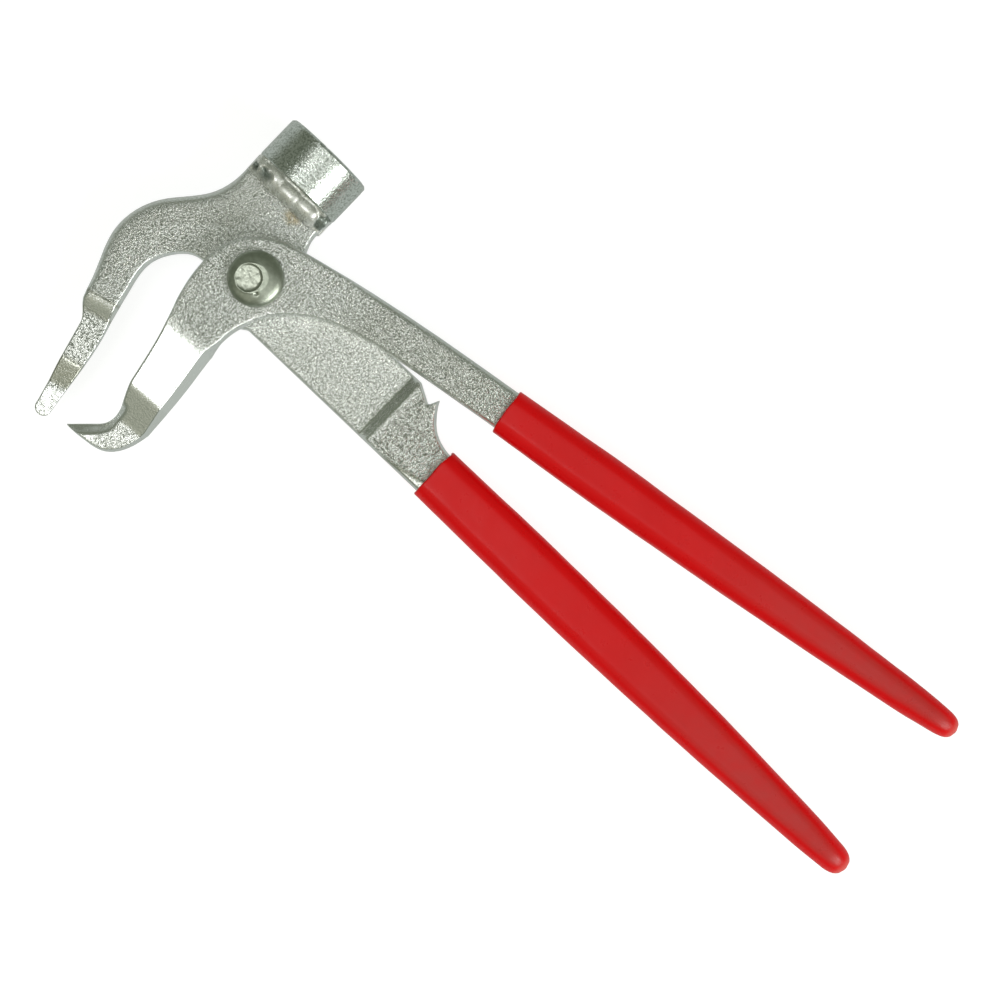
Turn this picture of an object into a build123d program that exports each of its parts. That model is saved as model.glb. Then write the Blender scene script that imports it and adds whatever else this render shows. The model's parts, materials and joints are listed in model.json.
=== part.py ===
from build123d import *
import os

# Hammer pliers for clip-on wheel weights.
# Millimetres. The pivot is at X0 Y0 while the pieces are made, with Z0 on the plane where the two
# levers lap. +X runs to the handle ends, +Y to the hammer. The last step moves the whole tool so
# that its origin is the bottom centre of its box.

# Thickness of the forgings
PLATE = 6.0              # each lever where they lap
STEP = 3.0               # rise from the lap plane to the full thickness of a handle or jaw
LAP_GAP = 0.1            # running gap between the lapped faces, and under the rivet head

# Pivot rivet
SHANK_R = 4.0
BORE_R = 4.05            # running bore in the front lever
HEAD_R = 7.05
HEAD_RIM = 1.0           # height of the straight rim of the head
HEAD_HEIGHT = 3.1
HEAD_DOME_AT = (5.8, 2.2)    # radius and height of a point halfway up the dome
STRUCK_R = 3.5           # flat left by the riveting punch

# Hammer
HAMMER_R = 12.5
HAMMER_X = -9.65
HAMMER_BASE_Y = 23.4
HAMMER_LENGTH = 12.2
HAMMER_AXIS_Z = -PLATE / 2
HAMMER_CHAMFER = 1.2

# Weld beads
BEAD_LEG = 4.6           # along the neck's face
BEAD_RISE = 4.4          # up the hammer's base
BEAD_BULGE = 0.35        # how far the bead's back stands out from a straight fillet
BEAD_END_TRIM = 0.3      # the bead stops this far inside the hammer's rim

# Shoulders where the lap ends and the handles get their full thickness
REAR_SHOULDER_X = 44.6
REAR_SHOULDER_SLOPE = 2.2    # length of the sloped wall in plan
FRONT_SHOULDER_X = 52.0
FRONT_JAW_SHOULDER_Y = -18.5

# Handles: the axis of each, its angle to X, and half widths of the vinyl grip along it
REAR_HANDLE_Y = -4.26
FRONT_HANDLE_AT = (130.5, 28.7)
FRONT_HANDLE_ANGLE = 8.4
GRIP_WALL = 1.15
GRIP_EDGE_R = 2.4
REAR_GRIP = [(64.6, 7.2), (90.0, 7.45), (127.0, 7.25), (151.0, 6.65), (175.0, 5.65), (199.5, 4.2)]
REAR_GRIP_END = 207.7
FRONT_GRIP = [(-64.0, 6.15), (-40.0, 6.4), (-12.0, 6.2), (15.0, 5.75), (47.0, 4.8), (66.0, 3.8)]
FRONT_GRIP_END = 73.6
CORE_SHORT = 4.5         # the steel ends this far inside the grip's tip
NOSE_SLOPE = (1, -0.09)  # direction of the grip's edge where its round end starts

# Steps along the jaws: place along the jaw and height that is left
BLADE_AT = (-24.3, -32.4, 0)
BLADE_TURN = 14.0
BLADE_STEPS = [(2.2, 0.0), (0.6, -0.5), (-1.9, -1.7), (-15.6, -2.2), (-22.2, -3.5), (-34.0, -3.7),
               (-34.0, 12.0), (2.2, 12.0)]
HOOK_TURN = 3.0
HOOK_STEPS = [(-20.0, 6.0), (-40.2, 4.4), (-48.8, 0.6), (-64.0, 0.0), (-64.0, 12.0), (-20.0, 12.0)]
JAW_REACH = 20.0         # half the width of the cutters that make these steps

# Bevel that sharpens the hook's inner edge
HOOK_EDGE_Z = -2.6
HOOK_BEVEL_HEIGHT = 4.6
HOOK_BEVEL_ANGLE = 40.0

REACH = 400.0            # longer than the tool, for cutting tools
ON_BASE = (Align.CENTER, Align.CENTER, Align.MIN)


def tapered_handle(stations, end, wall):
    """Face along +X, symmetric about it, with a round end; wall is taken off all round."""
    short = CORE_SHORT if wall else 0.0
    top = [(x - short, half - wall) for x, half in stations]
    tip = (end - short, 0)
    side = Spline(*top, tangents=[(1, 0), NOSE_SLOPE])
    nose = Spline(top[-1], tip, tangents=[NOSE_SLOPE, (0, -1)])
    upper = [side, nose]
    lower = [mirror(curve, about=Plane.XZ) for curve in upper]
    start = Line((top[0][0], -top[0][1]), top[0])
    return make_face(upper + lower + [start])


def rear_handle_face(wall):
    return Pos(0, REAR_HANDLE_Y) * tapered_handle(REAR_GRIP, REAR_GRIP_END, wall)


def front_handle_face(wall):
    face = tapered_handle(FRONT_GRIP, FRONT_GRIP_END, wall)
    return Pos(*FRONT_HANDLE_AT) * Rot(0, 0, FRONT_HANDLE_ANGLE) * face


def rear_head_face():
    """Blade, throat, neck, boss and the shank as far as the grip."""
    edges = [
        ThreePointArc((-15.3, -60.9), (-17.2, -62.6), (-20.0, -60.2)),
        Line((-20.0, -60.2), (-25.7, -37.9)),
        Spline((-25.7, -37.9), (-27.5, -35.6), (-29.5, -32.9), tangents=[(-0.5, 1), (-0.35, 1)]),
        Spline((-29.5, -32.9), (-32.8, -24.1), (-35.5, -16.5), (-35.5, -9.9), (-32.3, -2.0),
               (-27.5, 3.8), (-23.9, 9.0), (-22.2, 15.5), (-22.15, HAMMER_BASE_Y),
               tangents=[(-0.35, 1), (0, 1)]),
        Line((-22.15, HAMMER_BASE_Y), (2.85, HAMMER_BASE_Y)),
        Spline((2.85, HAMMER_BASE_Y), (2.2, 17.4), (3.8, 12.85), tangents=[(-0.2, -1), (0.6, -1)]),
        ThreePointArc((3.8, 12.85), (6.9, 11.5), (9.3, 9.65)),
        Line((9.3, 9.65), (46.8, 10.05)),
        Line((46.8, 10.05), (51.8, 7.3)),
        Line((51.8, 7.3), (53.2, 10.2)),
        Spline((53.2, 10.2), (55.2, 6.9), (58.6, 3.6), (63.0, 2.0), (68.0, 1.85),
               tangents=[(0.4, -1), (1, 0)]),
        Line((68.0, 1.85), (68.0, -10.5)),
        Line((68.0, -10.5), (6.4, -10.8)),
        ThreePointArc((6.4, -10.8), (-4.5, -12.9), (-12.7, -6.0)),
        Spline((-12.7, -6.0), (-17.0, -6.9), (-21.0, -10.8), (-23.3, -17.5), (-22.2, -24.0),
               (-20.0, -33.4), tangents=[(-1, 0), (0.25, -1)]),
        Spline((-20.0, -33.4), (-18.1, -40.7), (-16.9, -48.5), (-15.3, -60.9)),
    ]
    return make_face(edges)


def front_head_face():
    """Hooked jaw, disc over the pivot and the shank as far as the grip."""
    edges = [
        Line((-10.5, -59.3), (-4.4, -53.4)),
        Spline((-4.4, -53.4), (-2.7, -48.6), (-4.5, -43.0), (-5.6, -39.8),
               tangents=[(1, 1), (-0.3, 1)]),
        Spline((-5.6, -39.8), (-8.6, -25.6), (-11.4, -16.5), (-13.0, -7.1), (-11.7, 2.3),
               (-7.5, 7.9), (-0.6, 12.1), (4.2, 13.4), (16.1, 16.2), tangents=[(-0.2, 1), (1, 0.22)]),
        Spline((16.1, 16.2), (42.4, 21.2), (70.0, 25.4), tangents=[(1, 0.22), (1, 0.15)]),
        Line((70.0, 25.4), (71.6, 14.9)),
        Spline((71.6, 14.9), (47.0, 11.1), (28.1, 7.3), (18.1, 3.3), (10.3, -3.0), (6.4, -9.4),
               tangents=[(-1, -0.15), (-0.35, -1)]),
        Spline((6.4, -9.4), (4.6, -15.0), (4.5, -21.0), (5.6, -30.8), (6.5, -42.3), (6.7, -47.2)),
        Spline((6.7, -47.2), (4.7, -53.8), (0.7, -58.0), (-5.2, -59.2), (-10.5, -59.3),
               tangents=[(-0.2, -1), (-1, 0.1)]),
    ]
    return make_face(edges)


def slab(faces, bottom, top):
    """One solid of the given faces between two heights."""
    solid = Part()
    for face in faces:
        solid += Pos(0, 0, bottom) * extrude(face, top - bottom, dir=(0, 0, 1))
    return solid


def jaw_cutter(points, at, angle):
    """Cutter whose outline is given along the jaw and in Z, and which runs right across it."""
    face = make_face(Polyline(*points, close=True))
    across = extrude(Plane.YZ * face, JAW_REACH, both=True)
    return Pos(*at) * Rot(0, 0, angle) * across


def pin(radius, bottom, top):
    return Pos(0, 0, bottom) * Cylinder(radius, top - bottom, align=ON_BASE)


def rear_lever():
    faces = [rear_head_face(), rear_handle_face(GRIP_WALL)]
    body = slab(faces, -PLATE, STEP)
    # Everything on the jaw's side of the shoulder is cut down to the lap plane.
    foot = (REAR_SHOULDER_X, 0)
    top = (REAR_SHOULDER_X + REAR_SHOULDER_SLOPE, STEP)
    recess = make_face(Polyline((-REACH, 0), foot, top, (-REACH, STEP), close=True))
    body -= Plane.XZ * extrude(recess, REACH / 2, both=True)
    body -= jaw_cutter(BLADE_STEPS, BLADE_AT, BLADE_TURN)
    return body - pin(SHANK_R, -PLATE, STEP)


def front_lever():
    body = slab([front_head_face(), front_handle_face(GRIP_WALL)], -STEP, PLATE)
    # Behind the lap plane only the jaw and the handle remain.
    lap_width = FRONT_SHOULDER_X + REACH / 2
    lap = Pos(FRONT_SHOULDER_X - lap_width, FRONT_JAW_SHOULDER_Y, -STEP)
    body -= lap * Box(lap_width, REACH, STEP + LAP_GAP, align=(Align.MIN, Align.MIN, Align.MIN))
    body -= jaw_cutter(HOOK_STEPS, (0, 0, 0), HOOK_TURN)
    body -= hook_bevel()
    return body - pin(BORE_R, -STEP, PLATE)


def hook_bevel():
    """Cutter along the hook's inner edge, which leans over the hook as it rises."""
    edge = make_face([
        Line((-13.5, -62.2), (-4.6, -53.6)),
        ThreePointArc((-4.6, -53.6), (-3.6, -51.4), (-4.6, -48.2)),
        Polyline((-4.6, -48.2), (-14.0, -44.0), (-22.0, -56.0), (-13.5, -62.2)),
    ])
    return extrude(Pos(0, 0, HOOK_EDGE_Z) * edge, HOOK_BEVEL_HEIGHT, taper=-HOOK_BEVEL_ANGLE)


def hammer_head():
    blank = Cylinder(HAMMER_R, HAMMER_LENGTH, align=ON_BASE)
    face_rim = blank.edges().group_by(Axis.Z)[-1]
    blank = chamfer(face_rim, HAMMER_CHAMFER)
    return Pos(HAMMER_X, HAMMER_BASE_Y, HAMMER_AXIS_Z) * Rot(-90, 0, 0) * blank


def weld_bead(side):
    """Fillet weld between the neck and the hammer; side is 1 in front and -1 behind."""
    toe = (HAMMER_BASE_Y - BEAD_LEG, 0)
    root = (HAMMER_BASE_Y, 0)
    crown = (HAMMER_BASE_Y, BEAD_RISE)
    middle = (HAMMER_BASE_Y - BEAD_LEG / 2 - BEAD_BULGE, BEAD_RISE / 2 + BEAD_BULGE)
    profile = make_face([Line(toe, root), Line(root, crown), ThreePointArc(crown, middle, toe)])
    bar = Pos(HAMMER_X, 0, 0) * extrude(Plane.YZ * profile, HAMMER_R, both=True)
    reach = HAMMER_R - BEAD_END_TRIM
    trim = Pos(HAMMER_X, 0, HAMMER_AXIS_Z) * Rot(-90, 0, 0) * Cylinder(reach, REACH)
    bead = bar & trim
    if side < 0:
        bead = Pos(0, 0, -PLATE) * mirror(bead, about=Plane.XY)
    return bead


def rivet_head():
    """Domed head on Z0, with the flat left by the punch on top."""
    outline = [
        Line((0, 0), (HEAD_R, 0)),
        Line((HEAD_R, 0), (HEAD_R, HEAD_RIM)),
        ThreePointArc((HEAD_R, HEAD_RIM), HEAD_DOME_AT, (STRUCK_R, HEAD_HEIGHT)),
        Line((STRUCK_R, HEAD_HEIGHT), (0, HEAD_HEIGHT)),
        Line((0, HEAD_HEIGHT), (0, 0)),
    ]
    return revolve(Plane.XZ * make_face(outline), Axis.Z)


def pivot_rivet():
    front = Pos(0, 0, PLATE + LAP_GAP) * rivet_head()
    back = Pos(0, 0, -PLATE) * Rot(180, 0, 0) * rivet_head()
    return pin(SHANK_R, -PLATE, PLATE + LAP_GAP) + front + back


def grip(face, bottom, top, lever):
    """Dipped vinyl over a handle, its long edges rounded and its mouth cut square."""
    skin = Pos(0, 0, bottom - GRIP_WALL) * extrude(face, top - bottom + 2 * GRIP_WALL, dir=(0, 0, 1))
    rims = skin.faces().sort_by(Axis.Z)
    edges = [e for e in rims[0].edges() + rims[-1].edges() if e.geom_type != GeomType.LINE]
    skin = fillet(edges, GRIP_EDGE_R)
    return skin - lever


def build():
    rear = rear_lever()
    front = front_lever()
    return {
        "rear_lever": rear,
        "front_lever": front,
        "hammer_head": hammer_head(),
        "weld_bead_front": weld_bead(1),
        "weld_bead_rear": weld_bead(-1),
        "pivot_rivet": pivot_rivet(),
        "rear_grip": grip(rear_handle_face(0), -PLATE, STEP, rear),
        "front_grip": grip(front_handle_face(0), -STEP, PLATE, front),
    }


def write_parts(pieces):
    """Move the tool to its own frame and write one file for each piece."""
    box = Compound(children=list(pieces.values())).bounding_box()
    to_base = Pos(-box.center().X, -box.center().Y, -box.min.Z)
    print("pivot axis at", to_base.position, "size", box.size)
    os.makedirs("parts", exist_ok=True)
    for name, piece in pieces.items():
        export_step(to_base * piece.solid(), f"parts/{name}.step")


write_parts(build())
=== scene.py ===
import json
import math

import bmesh
import bpy
import numpy as np
from mathutils import Matrix, Vector, noise
from mathutils.bvhtree import BVHTree
from mathutils.kdtree import KDTree


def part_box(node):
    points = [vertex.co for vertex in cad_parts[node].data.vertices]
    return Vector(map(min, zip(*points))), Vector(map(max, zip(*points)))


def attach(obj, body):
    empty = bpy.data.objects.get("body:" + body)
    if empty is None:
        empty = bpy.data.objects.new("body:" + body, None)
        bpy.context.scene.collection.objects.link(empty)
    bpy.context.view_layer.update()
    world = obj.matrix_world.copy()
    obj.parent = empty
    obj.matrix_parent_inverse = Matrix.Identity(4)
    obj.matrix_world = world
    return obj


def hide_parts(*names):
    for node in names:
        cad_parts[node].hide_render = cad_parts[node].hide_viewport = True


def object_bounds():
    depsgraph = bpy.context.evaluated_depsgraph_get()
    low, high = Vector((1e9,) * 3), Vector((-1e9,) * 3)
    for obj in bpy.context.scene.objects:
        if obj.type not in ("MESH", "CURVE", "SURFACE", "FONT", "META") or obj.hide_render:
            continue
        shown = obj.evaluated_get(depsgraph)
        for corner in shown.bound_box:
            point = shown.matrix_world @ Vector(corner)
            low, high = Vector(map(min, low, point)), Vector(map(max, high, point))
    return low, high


# Hammer pliers for clip-on wheel weights. Metres, in the frame of the CAD model. Lengths below are
# written in millimetres times MM, and places marked "from the pivot" have X along the rear handle,
# Y towards the hammer and Z0 where the two levers lap.

MM = 0.001

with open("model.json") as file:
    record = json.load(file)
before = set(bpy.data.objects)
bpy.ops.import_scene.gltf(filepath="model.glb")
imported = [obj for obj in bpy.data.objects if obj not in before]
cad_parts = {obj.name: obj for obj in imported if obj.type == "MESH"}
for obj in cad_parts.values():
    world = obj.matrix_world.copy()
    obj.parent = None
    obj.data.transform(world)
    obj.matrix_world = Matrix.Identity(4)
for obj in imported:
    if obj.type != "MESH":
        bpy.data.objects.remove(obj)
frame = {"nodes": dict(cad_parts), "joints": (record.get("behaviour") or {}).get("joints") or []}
CAD_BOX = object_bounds()
NODES = frame["nodes"]
PIVOT = Vector(frame["joints"][0]["pos_m"])

# Levers
VOXEL = 0.31 * MM            # size of the mesh cells on a lever
CELL = 0.3 * MM              # grid on which its outline and heights are measured
MARGIN = 12                  # grid cells kept round the outline
WALL_FACING = 0.1            # a face is a wall when its normal rises less than this
RAY_START = 10 * MM          # how far above and below a lever its heights are probed from
MARK_STEP = 0.05 * MM        # between the marks that stand for its outline
HIDDEN_IN_GRIP = 5.0 * MM    # how far the finely modelled steel runs on inside the vinyl
CORE_OVERLAP = 0.2           # share of that length where the plain steel core runs along with it
CORE_SLACK = 0.5 * MM        # how far in the core's surface lies, so that it stays under the vinyl
GRAIN_DEPTH = 0.03 * MM      # of the forged skin where its grain is 1
GRAIN_LUMP = 1.05 * MM
WALL_GRAIN = 0.3             # share of the grain that is left on the upright walls
SLOW_WAVE = 0.05             # depth of the forged skin's slow waves, in millimetres
DRAFT = math.tan(math.radians(5.0))     # lean of the forgings' walls
LAP_MIDDLE = -3.0            # middle of the rear lever's thickness, in millimetres from the lap plane
TOOTH_AT = (53.2, 9.4)       # tooth behind the notch, in millimetres from the pivot
STAIN_AT = (-5.0, 17.6)      # heat stain beside the weld, in millimetres from the pivot
STAIN_R = 3.2

# Settling points on to a surface
PROBE = 0.02 * MM            # step over which the slope of a field is measured
LEAST_SLOPE = 0.3            # flatter slopes than this count as this
LONGEST_MOVE = 0.5 * MM      # of a point in one round


def smooth(low, high, value):
    """0 below low, 1 above high, and an S curve between; low may be the larger."""
    t = np.clip((np.asarray(value, float) - low) / (high - low), 0.0, 1.0)
    return t * t * (3.0 - 2.0 * t)


def round_max(a, b, radius):
    """Intersection of two distance fields with a round edge."""
    flat = np.minimum(-radius, np.maximum(a, b))
    return flat + np.hypot(np.maximum(a + radius, 0.0), np.maximum(b + radius, 0.0))


def smooth_min(a, b, width):
    """Union of two distance fields with a small fillet between them."""
    h = np.clip(0.5 + 0.5 * (b - a) / width, 0.0, 1.0)
    return b + (a - b) * h - width * h * (1.0 - h)


def noise_at(points, size, seed=0.0):
    """Perlin noise, about -1 to 1, with lumps of that size in metres."""
    shift = Vector((seed, 1.7 * seed, -0.6 * seed))
    return np.array([noise.noise(Vector(p) / size + shift) for p in points])


def from_pivot(points):
    """Places in millimetres from the pivot."""
    return (np.asarray(points) - np.array(PIVOT)) / MM


# ---------------------------------------------------------------- meshes

def new_piece(name, mesh):
    obj = bpy.data.objects.new(name, mesh)
    bpy.context.scene.collection.objects.link(obj)
    return obj


def points_of(mesh):
    flat = np.empty(len(mesh.vertices) * 3)
    mesh.vertices.foreach_get("co", flat)
    return flat.reshape(-1, 3)


def normals_of(mesh):
    flat = np.empty(len(mesh.vertices) * 3)
    mesh.vertices.foreach_get("normal", flat)
    return flat.reshape(-1, 3)


def put_points(mesh, points):
    mesh.vertices.foreach_set("co", np.asarray(points, float).ravel())
    mesh.update()


def ray_tree(mesh):
    return BVHTree.FromPolygons([v.co for v in mesh.vertices], [p.vertices[:] for p in mesh.polygons])


def set_number(mesh, name, values):
    """A named number on each point, which a material can read."""
    layer = mesh.attributes.new(name, "FLOAT", "POINT")
    layer.data.foreach_set("value", np.asarray(values, float))


def shade_smooth(mesh):
    mesh.polygons.foreach_set("use_smooth", [True] * len(mesh.polygons))


def cut(mesh, point, normal):
    """Closed copy of the part of the mesh that lies behind a plane."""
    form = bmesh.new()
    form.from_mesh(mesh)
    bmesh.ops.remove_doubles(form, verts=form.verts, dist=0.001 * MM)
    whole = form.verts[:] + form.edges[:] + form.faces[:]
    sliced = bmesh.ops.bisect_plane(form, geom=whole, plane_co=point, plane_no=normal,
                                    clear_outer=True)
    rim = [e for e in sliced["geom_cut"] if isinstance(e, bmesh.types.BMEdge)]
    bmesh.ops.triangle_fill(form, edges=rim, use_beauty=True)
    bmesh.ops.recalc_face_normals(form, faces=form.faces)
    out = bpy.data.meshes.new("cut")
    form.to_mesh(out)
    form.free()
    return out


def voxel_copy(mesh, size):
    """Even mesh of small squares round the same solid."""
    holder = new_piece("voxels", mesh)
    remesh = holder.modifiers.new("Remesh", "REMESH")
    remesh.mode = "VOXEL"
    remesh.voxel_size = size
    graph = bpy.context.evaluated_depsgraph_get()
    out = bpy.data.meshes.new_from_object(holder.evaluated_get(graph))
    bpy.data.objects.remove(holder)
    return out


def joined(name, meshes):
    form = bmesh.new()
    for mesh in meshes:
        form.from_mesh(mesh)
    out = bpy.data.meshes.new(name)
    form.to_mesh(out)
    form.free()
    return out


def settle(points, field, rounds=6):
    """Moves points on to the surface where the field is zero."""
    for _ in range(rounds):
        here = field(points)
        slope = np.empty_like(points)
        for axis in range(3):
            ahead = points.copy()
            ahead[:, axis] += PROBE
            slope[:, axis] = (field(ahead) - here) / PROBE
        size = np.maximum((slope ** 2).sum(1), LEAST_SLOPE ** 2)
        move = -(here / size)[:, None] * slope
        length = np.maximum(np.linalg.norm(move, axis=1), 1e-12)
        points = points + move * np.minimum(1.0, LONGEST_MOVE / length)[:, None]
    return points


# ---------------------------------------------------------------- forgings

class Plan:
    """A lever seen from above: distance to its outline, and its top and bottom heights."""

    def __init__(self, mesh):
        tree = ray_tree(mesh)
        pts = points_of(mesh)
        self.low = pts.min(0)[:2] - MARGIN * CELL
        count = np.ceil((pts.max(0)[:2] + MARGIN * CELL - self.low) / CELL).astype(int) + 1
        self.shape = tuple(count)
        inside = np.zeros(self.shape, bool)
        top = np.full(self.shape, np.nan)
        bottom = np.full(self.shape, np.nan)
        high = float(pts[:, 2].max()) + RAY_START
        deep = float(pts[:, 2].min()) - RAY_START
        for i in range(count[0]):
            x = self.low[0] + i * CELL
            for j in range(count[1]):
                y = self.low[1] + j * CELL
                over, facing = tree.ray_cast(Vector((x, y, high)), Vector((0, 0, -1)))[:2]
                if over is None:
                    continue
                inside[i, j] = True
                if abs(facing.z) > WALL_FACING:
                    top[i, j] = over.z
                under, facing = tree.ray_cast(Vector((x, y, deep)), Vector((0, 0, 1)))[:2]
                if abs(facing.z) > WALL_FACING:
                    bottom[i, j] = under.z
        self.gap = self.distances(mesh, inside)
        self.top = blurred(spread(top), 5)
        self.bottom = blurred(spread(bottom), 1)
        slope = np.gradient(self.gap, CELL)
        size = np.maximum(np.hypot(*slope), 1e-6)
        self.away = (blurred(slope[0] / size, 3), blurred(slope[1] / size, 3))
        self.lean = 1.0 / np.sqrt(1.0 + sum(g ** 2 for g in np.gradient(self.top, CELL)))

    def distances(self, mesh, inside):
        """Distance in plan from each grid point to the nearest upright wall, negative inside."""
        marks = []
        for face in mesh.polygons:
            if abs(face.normal.z) > WALL_FACING:
                continue
            ring = [mesh.vertices[k].co.xy for k in face.vertices]
            pairs = ((p, q) for p in ring for q in ring)
            a, b = max(pairs, key=lambda pair: (pair[0] - pair[1]).length)
            middle = (a + b) / 2 + Vector(face.normal.xy) * 1.5 * CELL
            cell = np.round((np.array(middle) - self.low) / CELL).astype(int)
            if inside[tuple(cell)]:
                continue
            pieces = max(1, int((b - a).length / MARK_STEP))
            marks += [a.lerp(b, k / pieces) for k in range(pieces + 1)]
        tree = KDTree(len(marks))
        for k, mark in enumerate(marks):
            tree.insert((mark.x, mark.y, 0.0), k)
        tree.balance()
        gap = np.empty(self.shape)
        for i in range(self.shape[0]):
            x = self.low[0] + i * CELL
            for j in range(self.shape[1]):
                gap[i, j] = tree.find((x, self.low[1] + j * CELL, 0.0))[2]
        return np.where(inside, -gap, gap)

    def outward(self, points):
        """Direction in plan, as X and Y, in which the nearest wall faces."""
        return self.read(self.away[0], points), self.read(self.away[1], points)

    def read(self, grid, points):
        """Values of a grid at places in plan, worked out between its points."""
        place = (points[:, :2] - self.low) / CELL
        place = np.clip(place, 0, np.array(self.shape) - 1.001)
        i, j = place.astype(int).T
        u, v = (place - place.astype(int)).T
        left = grid[i, j] * (1 - v) + grid[i, j + 1] * v
        right = grid[i + 1, j] * (1 - v) + grid[i + 1, j + 1] * v
        return left * (1 - u) + right * u


def spread(grid):
    """Fills the empty cells near the outline with the height of their neighbours."""
    grid = grid.copy()
    for _ in range(MARGIN + 2):
        padded = np.pad(grid, 1, constant_values=np.nan)
        rows, columns = grid.shape
        near = np.stack([padded[a:rows + a, b:columns + b] for a in range(3) for b in range(3)])
        known = ~np.isnan(near)
        total = np.where(known, near, 0.0).sum(0)
        mean = total / np.maximum(known.sum(0), 1)
        empty = np.isnan(grid) & (known.sum(0) > 0)
        grid[empty] = mean[empty]
    grid[np.isnan(grid)] = np.nanmean(grid)
    return grid


def blurred(grid, times):
    for _ in range(times):
        for axis in (0, 1):
            ahead = np.roll(grid, 1, axis)
            behind = np.roll(grid, -1, axis)
            grid = 0.25 * ahead + 0.5 * grid + 0.25 * behind
    return grid


def forge(node, mouth_x, turn, draft, top_radius, bottom_radius, roughen):
    """Lever made from its CAD node, with draft, rounded edges and the grain of a forged skin.

    mouth_x is where the vinyl starts, along a handle turned by that angle; the draft, the radii and
    the roughening are functions of the place from the pivot and the outward direction of the wall.
    """
    along = Vector((math.cos(turn), math.sin(turn), 0.0))
    mesh = NODES[node].data
    seen = cut(mesh, PIVOT + along * (mouth_x + HIDDEN_IN_GRIP), along)
    core = cut(mesh, PIVOT + along * (mouth_x + (1 - CORE_OVERLAP) * HIDDEN_IN_GRIP), -along)
    put_points(core, points_of(core) - normals_of(core) * CORE_SLACK)
    plan = Plan(seen)
    skin = voxel_copy(seen, VOXEL)
    points = points_of(skin)

    def field(at):
        place = from_pivot(at)
        out = plan.outward(at)
        lean, widest = draft(place, out)
        wall = plan.read(plan.gap, at) + lean * np.abs(at[:, 2] - PIVOT.z - widest)
        lid = (at[:, 2] - plan.read(plan.top, at)) * plan.read(plan.lean, at)
        base = plan.read(plan.bottom, at) - at[:, 2]
        body = round_max(wall, lid, top_radius(place, out))
        return round_max(body, base, bottom_radius(place, out))

    points = settle(points, field)
    put_points(skin, points)
    place = from_pivot(points)
    # The roughening's last number is painted shade: how much darker zinc is mixed in at each point.
    wave, grain, pits, painted_shade = roughen(place, plan.outward(points))
    level = WALL_GRAIN + (1 - WALL_GRAIN) * smooth(0.80, 0.97, np.abs(normals_of(skin)[:, 2]))
    lumps = noise_at(points, 7 * MM, 3.1) + 0.5 * noise_at(points, 3 * MM, 8.3)
    fine = noise_at(points, GRAIN_LUMP, 1.3)
    depth = wave * (0.8 + 0.5 * lumps) + GRAIN_DEPTH * grain * level * (1.0 + fine)
    put_points(skin, points - normals_of(skin) * depth[:, None])
    away = np.hypot(place[:, 0] - STAIN_AT[0], place[:, 1] - STAIN_AT[1])
    near_weld = smooth(STAIN_R, 0.3 * STAIN_R, away) * (node == "rear_lever") * (place[:, 2] > -1.0)
    numbers = {"stain": near_weld, "grain": grain * level, "pits": pits * level, "painted_shade": painted_shade}
    for name, values in numbers.items():
        set_number(skin, name, values)
        set_number(core, name, np.zeros(len(core.vertices)))
    piece = new_piece("forged_" + node, joined(node, [skin, core]))
    shade_smooth(piece.data)
    return piece


# The functions below shape one lever each and are passed to forge(). The pairs of numbers given to
# smooth() say where a part of the lever fades in or out: in millimetres from the pivot, along the
# blade or up, or as the share of the outward direction on the walls.

def outer_side(out):
    """1 on the walls of the neck that face away from the throat."""
    return smooth(0.1, 0.7, -0.8 * out[0] + 0.6 * out[1])


def rear_draft(place, out):
    return np.full(len(place), DRAFT), np.full(len(place), LAP_MIDDLE * MM)


def rear_top_radius(place, out):
    """Wide roll-off along the outer edge of the neck, slight elsewhere."""
    x, y = place[:, 0], place[:, 1]
    neck = smooth(-34, -27, y) * smooth(22, 12, y) * smooth(-4, -10, x)
    tooth = smooth(5, 2, np.hypot(x - TOOTH_AT[0], y - TOOTH_AT[1]))
    blade = smooth(-32, -36, y)
    radius = 0.8 + 2.4 * outer_side(out) * neck - 0.4 * tooth - 0.45 * blade
    return radius * MM


def rear_bottom_radius(place, out):
    return np.full(len(place), 0.9 * MM)


def ridge(low, high, value, width=0.5):
    """1 at low and at high, falling off on both sides of each."""
    return np.exp(-((value - low) / width) ** 2) + np.exp(-((value - high) / width) ** 2)


def rear_rough(place, out):
    """Depth of the slow waves, and strength of the grain, the pits and the painted shade.

    The blade's steps lie across its slant, so they are placed by the distance up the blade from the
    upper cove.
    """
    x, y, z = place.T
    along = y + 32.4 - 0.25 * (x + 24.3)
    cove = smooth(2.9, 1.9, along) * smooth(-2.6, -1.2, along)
    lower_cove = smooth(-15.0, -16.2, along) * smooth(-23.0, -21.5, along)
    blade = smooth(-1.5, -3.0, along)
    tip = smooth(-23.0, -24.5, along)
    behind = smooth(-4.0, -5.5, z)
    recess = smooth(8, 16, x) * smooth(45, 43, x)
    shoulder = smooth(43.5, 44.5, x) * smooth(48.5, 47.5, x)
    shank = smooth(47, 50, x)
    outer = outer_side(out) * smooth(-30, -20, y) * (1 - behind)
    coves = (1 - 0.75 * cove) * (1 - 0.8 * lower_cove)
    grain = 0.9 - 0.5 * blade - 0.35 * recess - 0.3 * behind - 0.5 * shoulder
    grain = grain * coves * (1 - 0.5 * tip)
    pits = (0.95 + 0.55 * blade - 0.1 * recess - 0.85 * tip - 0.6 * shoulder) * coves
    # Painted shade: the zinc is darkened in the coves, along the edges of the blade's steps, at the
    # shoulder, in the recess, along the handle past the shoulder and on the outer side of the neck.
    edges = ridge(2.6, -2.0, along) + 0.8 * ridge(-15.2, -22.6, along)
    painted_shade = 0.9 * lower_cove + 0.15 * cove + 0.8 * edges + 0.25 * shank + 0.3 * shoulder + 0.12 * recess
    painted_shade += 0.2 * outer * smooth(-8, -14, x)
    return np.full(len(place), SLOW_WAVE * MM), grain, pits, np.clip(painted_shade, 0.0, 1.0)


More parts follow.
